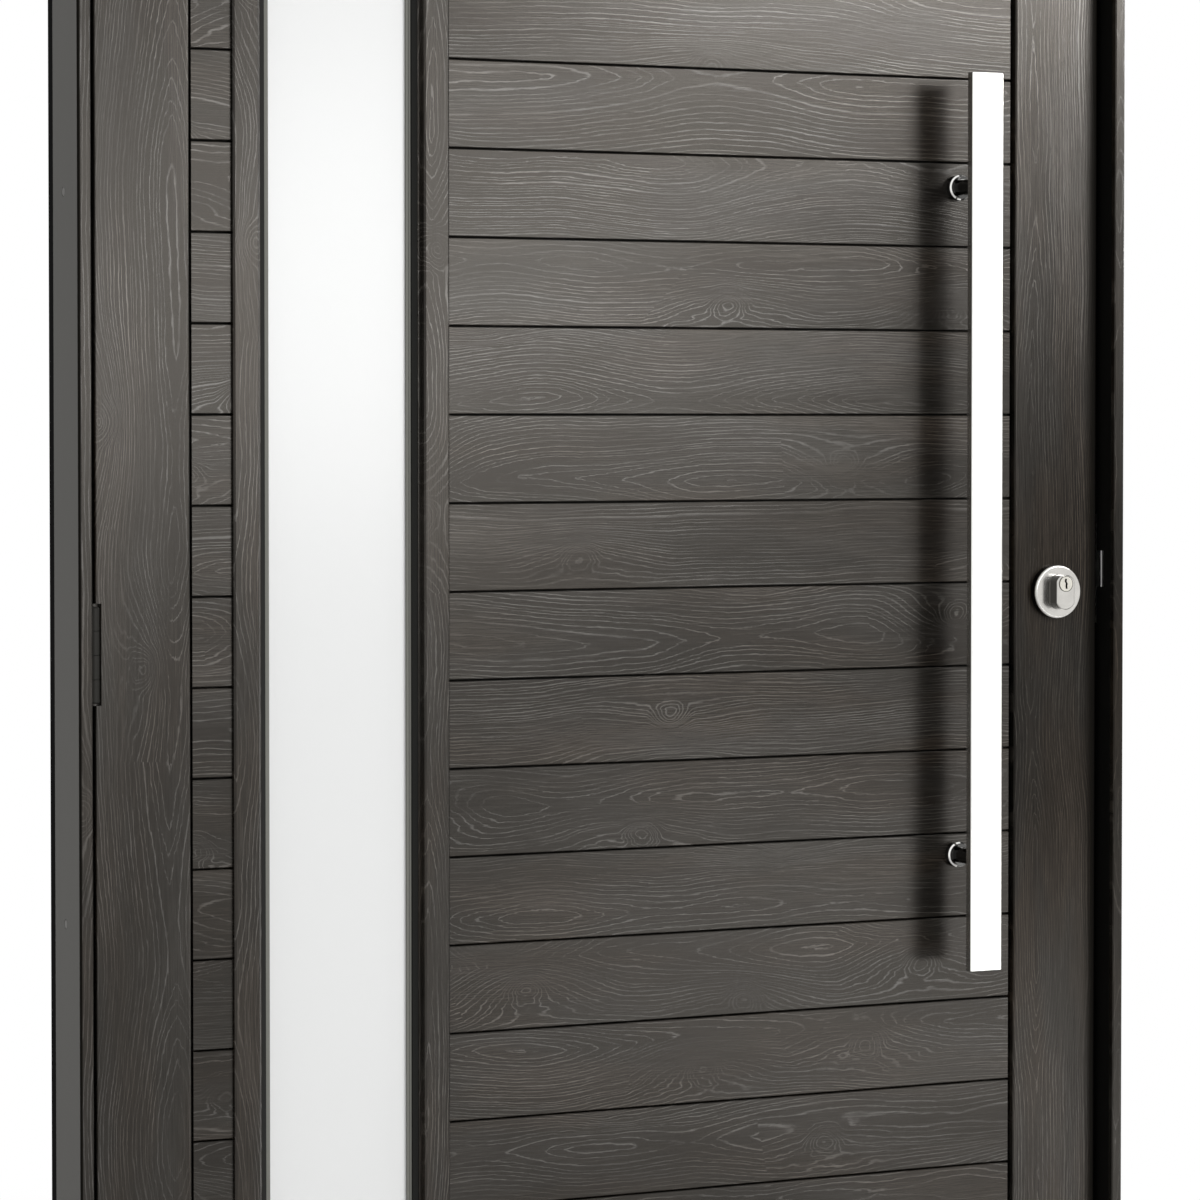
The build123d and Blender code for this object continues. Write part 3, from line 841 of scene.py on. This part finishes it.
@dataclass(frozen=True)
class CoreBoard(Finish):
    """Dark board behind the timber, seen only in the shadow gaps."""

    colour: Colour
    pale_by: float = 2.2
    chips: Speck = Speck(420.0, 1.0, detail=3.0)
    roughness: float = 0.9
    relief: Span = (0.0001, 0.5)

    def write(self, sheet: Sheet) -> None:
        """Write the board's pressed fibres."""
        noises = ((self.chips, sheet.vector(*sheet.axes())),)
        pair = (self.colour, shade(self.colour, self.pale_by))
        sheet.surface(sheet.mottled(noises, pair, self.roughness, self.relief))


def paint(node: str, finish: Finish) -> None:
    """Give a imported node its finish.

    Args:
        node: name of the node.
        finish: finish to make and assign to its material slots.
    """
    target = NODES[node]
    made = finish.material()
    if not target.material_slots:
        target.data.materials.append(made)
    for slot in target.material_slots:
        slot.material = made
    LOG.info("%s dressed in %s", node, finish.name)


def board(node: str, grain: Grain, centre: float, pitch: float = ONE_BOARD, **looks: object) -> None:
    """Give a node its timber, from the middle and the pitch of its boards and any other looks."""
    paint(node, Timber(node + "_timber", grain, centre, pitch, BOARD_SEEDS[node], **looks))


@dataclass
class FrameAssembly:
    """Jambs, head and threshold with their facings, seals and strike."""

    coat_skin: float = 0.0012
    anodised: Colour = (0.42, 0.42, 0.41)
    rubber: Colour = (0.008, 0.008, 0.008)
    strike: Colour = (0.70, 0.69, 0.67)
    # Painted shade on a facing's outer side begins two of these in from the side and is full at one.
    shaded_side_depth: float = 0.0003

    def dress(self) -> None:
        """Give every piece of the frame its finish."""
        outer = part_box("lock_jamb")[1].x - self.coat_skin
        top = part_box("head")[1].z - self.coat_skin
        # Painted shade lines the frame everywhere but its outer sides and top, as far indoors as the
        # back of the strike plate.
        rebate = (outer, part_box("strike_plate")[1].y, top)
        for name in ("hinge_jamb", "lock_jamb", "head"):
            coat = PowderCoat(name + "_coat", FRAME_COAT, roughness=0.46, gloss=0.20, rebate=rebate)
            paint(name, coat)
        bare = BrushedMetal("threshold_anodised", self.anodised, Grain.LEVEL, roughness=0.38)
        paint("threshold", bare)
        for name in ("wall_seal", "rebate_gasket"):
            paint(name, Rubber(name + "_rubber", self.rubber, gloss=0.0))
        steel = BrushedMetal("strike_steel", self.strike, Grain.UPRIGHT, roughness=0.30)
        paint("strike_plate", steel)
        self._dress_facings()

    def _dress_facings(self) -> None:
        """Give the facings their timber, with painted shade on their outer sides."""
        low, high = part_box("hinge_jamb_facing")
        edge = self._shaded_side(-low.x)
        board("hinge_jamb_facing", Grain.UPRIGHT, (low.x + high.x) / 2, dark_edge=edge)
        low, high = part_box("lock_jamb_facing")
        looks = {"dark_edge": self._shaded_side(high.x), "worn_height": HAND_HEIGHT}
        board("lock_jamb_facing", Grain.UPRIGHT, (low.x + high.x) / 2, **looks, rings=NO_EYES)
        low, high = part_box("head_facing")
        board("head_facing", Grain.LEVEL, (low.z + high.z) / 2)

    def _shaded_side(self, side: float) -> Span:
        """Distances from the middle between which painted shade darkens a facing's outer side."""
        return (side - 2 * self.shaded_side_depth, side - self.shaded_side_depth)


@dataclass
class LeafAssembly:
    """The leaf's aluminium core and the timber boards on both its faces."""

    coat: Colour = (0.0070, 0.0067, 0.0060)
    infill: Colour = (0.006, 0.006, 0.006)
    courses: int = 25
    first_course: float = 0.995
    edge_shade: float = 0.017

    def dress(self) -> None:
        """Give the core and every board its finish."""
        for side in ("hinge", "lock", "top", "bottom"):
            name = f"leaf_{side}_profile"
            paint(name, PowderCoat(name + "_coat", self.coat))
        paint("leaf_infill", CoreBoard("leaf_infill_board", self.infill))
        self._dress_planks()
        self._dress_uprights()
        self._dress_levels()

    def _dress_planks(self) -> None:
        """Give each column of planks its own timber."""
        for name in ("outer_wide_planks", "outer_narrow_planks", "inner_planks"):
            low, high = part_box(name)
            pitch = (high.z - low.z) / self.courses
            reach = low.z + self.first_course * pitch
            plank_top = max(v.co.z for v in NODES[name].data.vertices if v.co.z < reach)
            pitch += (pitch - (plank_top - low.z)) / self.courses
            board(name, Grain.LEVEL, low.z + pitch / 2, pitch)

    def _dress_uprights(self) -> None:
        """Give stiles and upright trim their timber."""
        for name in ("outer_hinge_stile", "outer_trim_left", "outer_trim_right"):
            low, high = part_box(name)
            board(name, Grain.UPRIGHT, (low.x + high.x) / 2, rings=SOME_EYES)
        low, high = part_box("outer_lock_stile")
        # Painted shadow: the stile fades to flat dark over its last edge_shade next to the lock jamb,
        # standing for the shadow that the jamb casts.
        looks = {"dark_edge": (high.x - self.edge_shade, high.x), "worn_height": HAND_HEIGHT}
        board("outer_lock_stile", Grain.UPRIGHT, (low.x + high.x) / 2, **looks, rings=RARE_EYES)
        middle = (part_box("inner_stiles")[1].x + low.x) / 2
        board("inner_stiles", Grain.UPRIGHT, -middle, 2 * middle)
        low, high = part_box("inner_trim")
        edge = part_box("outer_trim_left")
        width = edge[1].x - edge[0].x
        board("inner_trim", Grain.UPRIGHT, low.x + width / 2, high.x - low.x - width)

    def _dress_levels(self) -> None:
        """Give rails and level trim their timber."""
        for name in ("outer_rails", "inner_rails"):
            low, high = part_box(name)
            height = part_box("outer_wide_planks")[0].z - low.z
            first = low.z + height / 2
            last = high.z - height / 2
            board(name, Grain.LEVEL, first, last - first)
        for name in ("outer_trim_bottom", "outer_trim_top"):
            low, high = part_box(name)
            board(name, Grain.LEVEL, (low.z + high.z) / 2)


@dataclass
class Glazing:
    """Panes, spacer and rubbers of the tall slot."""

    white: Colour = (0.86, 0.865, 0.86)
    rubber: Colour = (0.010, 0.010, 0.009)
    grey: Colour = (0.150, 0.150, 0.134)
    metal: Colour = (0.36, 0.36, 0.35)

    def dress(self) -> None:
        """Give the slot's pieces their finishes."""
        paint("glass_panes", SatinGlass("slot_glass", self.white))
        spacer = BrushedMetal("slot_spacer", self.metal, Grain.UPRIGHT, roughness=0.45)
        paint("glass_spacer", spacer)
        paint("glazing_seals", Rubber("slot_seal_rubber", self.rubber))
        paint("glazing_gaskets", Rubber("slot_gasket_rubber", self.grey, roughness=0.5))


@dataclass
class Hardware:
    """Hinges, pull bar, lock and lever."""

    hinge: Colour = (0.013, 0.0124, 0.0108)
    nickel: Colour = (0.58, 0.565, 0.535)
    brass: Colour = (0.60, 0.58, 0.52)
    # Spans of Y of the collar rims that keep full colour; the posts are painted dark elsewhere.
    collar_rims: Sequence[Span] = ((-0.0224, -0.0212), (-0.0240, -0.0236))
    rosette_rim: float = 0.0018
    cylinder_rim: float = 0.0007
    plug_line: float = 0.0006
    wall_line: float = 0.0006

    def dress(self) -> None:
        """Give the metal furniture its finishes."""
        for name in ("frame_hinges", "leaf_hinges"):
            paint(name, PowderCoat(name + "_coat", self.hinge, roughness=0.44, gloss=0.16))
        bar = BrushedMetal("pull_bar_steel", SATIN_STEEL, Grain.UPRIGHT, roughness=0.22)
        paint("pull_bar", bar)
        paint("pull_bar_posts", PolishedMetal("pull_post_steel", SATIN_STEEL, self.collar_rims))
        for name in ("lock_faceplate", "lock_bolts"):
            paint(name, BrushedMetal(name + "_steel", SATIN_STEEL, Grain.UPRIGHT, roughness=0.28))
        self._dress_lock()

    def _dress_lock(self) -> None:
        """Give the lock plate, cylinder and plug, the thumb turn and the lever their finishes."""
        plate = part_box("lock_rosette")
        centre = self._middle(*plate)
        nickel = self.nickel
        paint("thumb_turn", TurnedMetal("thumb_turn_nickel", nickel, centre))
        # Painted shade: the rosette's side wall is darkened, for the dark shadow and reflection along
        # its edge.
        shaded_walls = (plate[0].y + self.rosette_rim, plate[1].y)
        rosette = TurnedMetal("lock_rosette_nickel", nickel, centre, roughness=0.20, shaded_walls=shaded_walls)
        paint("lock_rosette", rosette)
        # Painted shade: the cylinder's walls in front of the rosette are darkened, for their dark
        # reflections.
        shaded_walls = (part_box("lock_cylinder")[0].y + self.cylinder_rim, plate[0].y - self.wall_line)
        cylinder = TurnedMetal("lock_cylinder_nickel", nickel, centre, roughness=0.18, shaded_walls=shaded_walls)
        paint("lock_cylinder", cylinder)
        lever = (centre[0], self._middle(*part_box("lever_handle"))[1])
        paint("inner_rosettes", TurnedMetal("inner_rosettes_nickel", nickel, lever))
        paint("lever_handle", BrushedMetal("lever_nickel", nickel, Grain.LEVEL, roughness=0.18))
        # Painted shade: the plug's sides and outer ring are darkened, for the shade in the gap round
        # it.
        low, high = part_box("key_plug")
        plug = TurnedMetal(
            "key_plug_brass",
            self.brass,
            self._middle(low, high),
            roughness=0.24,
            shaded_walls=(low.y + self.plug_line, high.y),
            rim_from=(high.x - low.x) / 2 - self.plug_line,
            painted_shade_tone=0.22,
        )
        paint("key_plug", plug)

    @staticmethod
    def _middle(low: Vector, high: Vector) -> Span:
        """Middle of a box seen from the front, as (x, z)."""
        return ((low.x + high.x) / 2, (low.z + high.z) / 2)


@dataclass
class Fasteners:
    """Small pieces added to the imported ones: screws, hole caps and the strike's rolled lip."""

    sides: int = 24
    weld: float = 1e-6
    screw_radius: float = 0.0042
    screw_proud: float = 0.0004
    screw_top: float = 0.86
    socket_radius: float = 0.0018
    socket_depth: float = 0.0012
    socket_tip: float = 1.3
    strike_inset: float = 0.010
    strike_rise: float = 0.037
    faceplate_inset: float = 0.012
    hinge_inset: float = 0.0075
    hinge_plate: float = 0.003
    hinge_rise: float = 0.026
    hinge_parts: int = 8
    dark_steel: Colour = (0.030, 0.029, 0.027)
    cap_radius: float = 0.0038
    cap_depth: float = 0.0012
    cap_ease: float = 0.0003
    roll_radius: float = 0.0010
    roll_setback: float = 0.0005
    roll_half: float = 0.0165
    # Strike steel made darker as painted shade, for the dim reveal that the roll sits in.
    shaded_roll_steel: Colour = (0.30, 0.30, 0.30)

    def build(self) -> None:
        """Make every small piece and seat it."""
        self._strike_roll()
        self._lock_screws()
        self._hinge_screws()
        self._fixing_caps()

    def _finish_piece(
        self, name: str, shape: bmesh.types.BMesh, body: Body, finish: Finish
    ) -> None:
        """Turn a finished shape into a piece that rides on a body.

        Args:
            name: name of the piece.
            shape: its bmesh, in place; it is freed.
            body: body that carries it.
            finish: finish to give it.
        """
        bmesh.ops.remove_doubles(shape, verts=shape.verts, dist=self.weld)
        bmesh.ops.recalc_face_normals(shape, faces=shape.faces)
        mesh = bpy.data.meshes.new(name)
        shape.to_mesh(mesh)
        shape.free()
        mesh.materials.append(finish.material())
        piece = bpy.data.objects.new(name, mesh)
        bpy.context.scene.collection.objects.link(piece)
        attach(piece, body.value)
        LOG.info("%s rides on %s", name, body.value)

    def _studs(
        self, profile: Sequence[Span], places: Iterable[Point], way: float
    ) -> bmesh.types.BMesh:
        """Make equal round studs that face along X.

        Args:
            profile: (radius, height) points of a stud, standing on its own axis.
            places: where the studs' axes start.
            way: 1 for studs that face +X and -1 for those that face -X.

        Returns:
            One shape with all of them.
        """
        shape = bmesh.new()
        facing = Vector((way, 0.0, 0.0)).to_track_quat("Z", "Y").to_matrix().to_4x4()
        for place in places:
            verts = [shape.verts.new((radius, 0.0, height)) for radius, height in profile]
            edges = [shape.edges.new(pair) for pair in zip(verts, verts[1:])]
            bmesh.ops.spin(
                shape,
                geom=verts + edges,
                cent=(0.0, 0.0, 0.0),
                axis=(0.0, 0.0, 1.0),
                angle=2.0 * math.pi,
                steps=self.sides,
                use_merge=True,
            )
            turn = Matrix.Translation(place) @ facing
            added = [v for v in shape.verts if not v.tag]
            bmesh.ops.transform(shape, matrix=turn, verts=added)
            for vert in shape.verts:
                vert.tag = True
        return shape

    def _screw(self) -> Sequence[Span]:
        """Profile of a countersunk screw head with a round socket."""
        return (
            (self.screw_radius, 0.0),
            (self.screw_radius * self.screw_top, self.screw_proud),
            (self.socket_radius, self.screw_proud),
            (self.socket_radius, self.screw_proud - self.socket_depth),
            (0.0, self.screw_proud - self.socket_depth * self.socket_tip),
        )

    def _cap(self) -> Sequence[Span]:
        """Profile of a round cap with an eased rim."""
        return (
            (0.0, 0.0),
            (self.cap_radius, 0.0),
            (self.cap_radius, self.cap_depth - self.cap_ease),
            (self.cap_radius - self.cap_ease, self.cap_depth),
            (0.0, self.cap_depth),
        )

    def _strike_roll(self) -> None:
        """Rolled front edge of the strike's lip, which catches the light in the reveal."""
        low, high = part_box("strike_plate")
        middle = (low.z + high.z) / 2
        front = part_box("outer_lock_stile")[0].y + self.roll_setback
        shape = bmesh.new()
        made = bmesh.ops.create_circle(
            shape, cap_ends=True, segments=self.sides, radius=self.roll_radius
        )
        foot = (low.x, front, middle - self.roll_half)
        bmesh.ops.translate(shape, verts=made["verts"], vec=foot)
        drawn = bmesh.ops.extrude_face_region(shape, geom=shape.faces[:])
        tops = [v for v in drawn["geom"] if isinstance(v, bmesh.types.BMVert)]
        bmesh.ops.translate(shape, verts=tops, vec=(0.0, 0.0, 2.0 * self.roll_half))
        # The roll's steel is darkened as painted shade.
        finish = BrushedMetal("strike_roll_steel", self.shaded_roll_steel, Grain.UPRIGHT, roughness=0.34)
        self._finish_piece("strike_lip_roll", shape, Body.FRAME, finish)

    def _lock_screws(self) -> None:
        """Two screws that hold the strike plate, and two at the ends of the lock's edge plate."""
        low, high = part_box("strike_plate")
        middle = (low.z + high.z) / 2
        depth = high.y - self.strike_inset
        heights = (middle - self.strike_rise, middle + self.strike_rise)
        places = [(low.x, depth, height) for height in heights]
        self._steel_screws("strike_screws", Body.FRAME, places, -1.0)
        low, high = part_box("lock_faceplate")
        depth = (low.y + high.y) / 2
        heights = (low.z + self.faceplate_inset, high.z - self.faceplate_inset)
        places = [(high.x, depth, height) for height in heights]
        self._steel_screws("faceplate_screws", Body.LEAF, places, 1.0)

    def _steel_screws(self, name: str, body: Body, places: Iterable[Point], way: float) -> None:
        """Bright screws at some places on a body, facing one way along X."""
        finish = BrushedMetal(name + "_steel", SATIN_STEEL, Grain.UPRIGHT, roughness=0.30)
        self._finish_piece(name, self._studs(self._screw(), places, way), body, finish)

    def _hinge_screws(self) -> None:
        """Two screws in each hinge plate, on the jamb and on the leaf."""
        low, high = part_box("frame_hinges")
        depth = high.y - self.hinge_inset
        leaf_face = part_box("leaf_hinge_profile")[0].x - self.hinge_plate
        rises = (-self.hinge_rise, self.hinge_rise)
        heights = [middle + rise for middle in self._hinge_middles() for rise in rises]
        for name, body, face, way in (
            ("frame_hinge_screws", Body.FRAME, low.x + self.hinge_plate, 1.0),
            ("leaf_hinge_screws", Body.LEAF, leaf_face, -1.0),
        ):
            shape = self._studs(self._screw(), [(face, depth, height) for height in heights], way)
            finish = PowderCoat(name + "_coat", self.dark_steel, roughness=0.34)
            self._finish_piece(name, shape, body, finish)

    def _hinge_middles(self) -> list[float]:
        """Find the hinges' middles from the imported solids.

        Returns:
            Middle heights from the lowest hinge up.
        """
        low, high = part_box("leaf_hinges")
        apart = (high.z - low.z) / self.hinge_parts
        heights = sorted({round(v.co.z, 4) for v in NODES["frame_hinges"].data.vertices})
        groups = [[heights[0]]]
        for height in heights[1:]:
            if height - groups[-1][-1] > apart:
                groups.append([])
            groups[-1].append(height)
        return [(group[0] + group[-1]) / 2 for group in groups]

    def _fixing_caps(self) -> None:
        """Flush caps in the outer ends of the frame's fixing holes."""
        for node, way in (("hinge_jamb", -1.0), ("lock_jamb", 1.0)):
            name = node + "_caps"
            low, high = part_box(node)
            side = (low.x if way < 0 else high.x) - way * self.cap_depth
            places = []
            for mount in RECORD["mounts"]:
                across, depth, middle = mount["pos_m"]
                if mount["kind"] == "bolt_pattern" and across * way > 0:
                    half = mount["dims"]["spacing_y_mm"] / 2 / MM_PER_M
                    places += [(side, depth, middle - half), (side, depth, middle + half)]
            finish = PowderCoat(name + "_coat", FRAME_COAT)
            shape = self._studs(self._cap(), places, way)
            self._finish_piece(name, shape, Body.FRAME, finish)


@dataclass(frozen=True)
class Lamp:
    """Flat soft lamp: where it hangs, the point that it faces, its width and height, and its watts."""

    name: str
    place: Point
    target: Point
    size: Span
    power: float

    def hang(self) -> None:
        """Add the lamp to the scene."""
        light = bpy.data.lights.new(self.name, "AREA")
        light.shape = "RECTANGLE"
        light.size, light.size_y = self.size
        light.energy = self.power
        lamp = bpy.data.objects.new(self.name, light)
        lamp.location = self.place
        aim = Vector(self.target) - Vector(self.place)
        lamp.rotation_euler = aim.to_track_quat("-Z", "Y").to_euler()
        bpy.context.scene.collection.objects.link(lamp)


@dataclass
class Studio:
    """Pale floor, soft lamps, white surroundings and the camera."""

    floor_half: float = 9.0
    floor_tone: Colour = (0.80, 0.80, 0.80)
    clear_span: Span = (1.0, 3.0)
    ambient: float = 0.66
    camera_place: Point = (-1.6686, -3.3877, 1.1654)
    camera_yaw: float = 26.071
    camera_pitch: float = 1.61
    lens: float = 130.333
    sensor: float = 36.0
    shift_y: float = -0.05
    lamps: Sequence[Lamp] = (
        Lamp("high_lamp", (2.35, -2.9, 2.3), (0.2, 0.0, 1.2), (1.6, 0.8), 60.0),
        Lamp("front_lamp", (1.05, -3.2, 1.40), (0.0, 0.0, 1.2), (1.4, 0.7), 13.5),
        Lamp("low_lamp", (1.9, -3.0, 0.22), (0.1, 0.0, 0.5), (1.1, 0.36), 3.6),
        Lamp("room_lamp", (2.5, 2.7, 1.95), (0.0, 0.0, 1.1), (1.8, 1.6), 60.0),
    )

    def build(self) -> None:
        """Set up everything round the door."""
        self._floor()
        self._world()
        for lamp in self.lamps:
            lamp.hang()
        self._camera()

    def _floor(self) -> None:
        """Plain pale floor that fades to white away from the door."""
        grid = bmesh.new()
        bmesh.ops.create_grid(grid, x_segments=1, y_segments=1, size=self.floor_half)
        mesh = bpy.data.meshes.new("floor")
        grid.to_mesh(mesh)
        grid.free()
        floor = bpy.data.objects.new("floor", mesh)
        bpy.context.scene.collection.objects.link(floor)
        made = bpy.data.materials.new("pale_floor")
        made.use_nodes = True
        sheet = Sheet(made.node_tree)
        x, y, _ = sheet.axes()
        away = sheet.fade((x * x + y * y).root(), *self.clear_span)
        matt = sheet.add("BsdfDiffuse", {}, {"Color": (*self.floor_tone, 1.0)})
        white = sheet.add("Emission", {}, {"Color": (*WHITE, 1.0), "Strength": 1.0})
        sheet.end(sheet.add("MixShader", {}, {0: away * self._seen(sheet), 1: matt, 2: white}))
        mesh.materials.append(made)

    @staticmethod
    def _seen(sheet: Sheet) -> Wire:
        """1 for rays that show the surroundings: straight, mirrored or through glass."""
        rays = [
            sheet.add("LightPath", {}, {}, name)
            for name in ("Is Camera Ray", "Is Glossy Ray", "Is Transmission Ray")
        ]
        return rays[0].at_least(rays[1]).at_least(rays[2])

    def _world(self) -> None:
        """White surroundings that light the door softly."""
        world = bpy.data.worlds.new("white_room")
        bpy.context.scene.world = world
        world.use_nodes = True
        sheet = Sheet(world.node_tree)
        strength = self._seen(sheet) * (1.0 - self.ambient) + self.ambient
        shader = sheet.add("Background", {}, {"Color": (*WHITE, 1.0), "Strength": strength})
        sheet.add("OutputWorld", {}, {"Surface": shader})

    def _camera(self) -> None:
        """Camera at the photograph's viewing angle."""
        data = bpy.data.cameras.new("camera")
        data.lens = self.lens
        data.sensor_width = self.sensor
        data.shift_y = self.shift_y
        camera = bpy.data.objects.new("camera", data)
        camera.location = self.camera_place
        turn = (math.radians(90.0 - self.camera_pitch), 0.0, math.radians(-self.camera_yaw))
        camera.rotation_euler = turn
        bpy.context.scene.collection.objects.link(camera)
        bpy.context.scene.camera = camera


def main() -> None:
    """Load the door, dress it and set the studio."""
    logging.basicConfig(level=logging.INFO, format="%(name)s: %(message)s")
    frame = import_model()
    NODES.update(frame["nodes"])
    RECORD.update(frame["record"])
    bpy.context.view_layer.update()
    bpy.context.scene.view_settings.view_transform = "Standard"
    FrameAssembly().dress()
    LeafAssembly().dress()
    Glazing().dress()
    Hardware().dress()
    Fasteners().build()
    Studio().build()


if __name__ == "__main__":
    main()
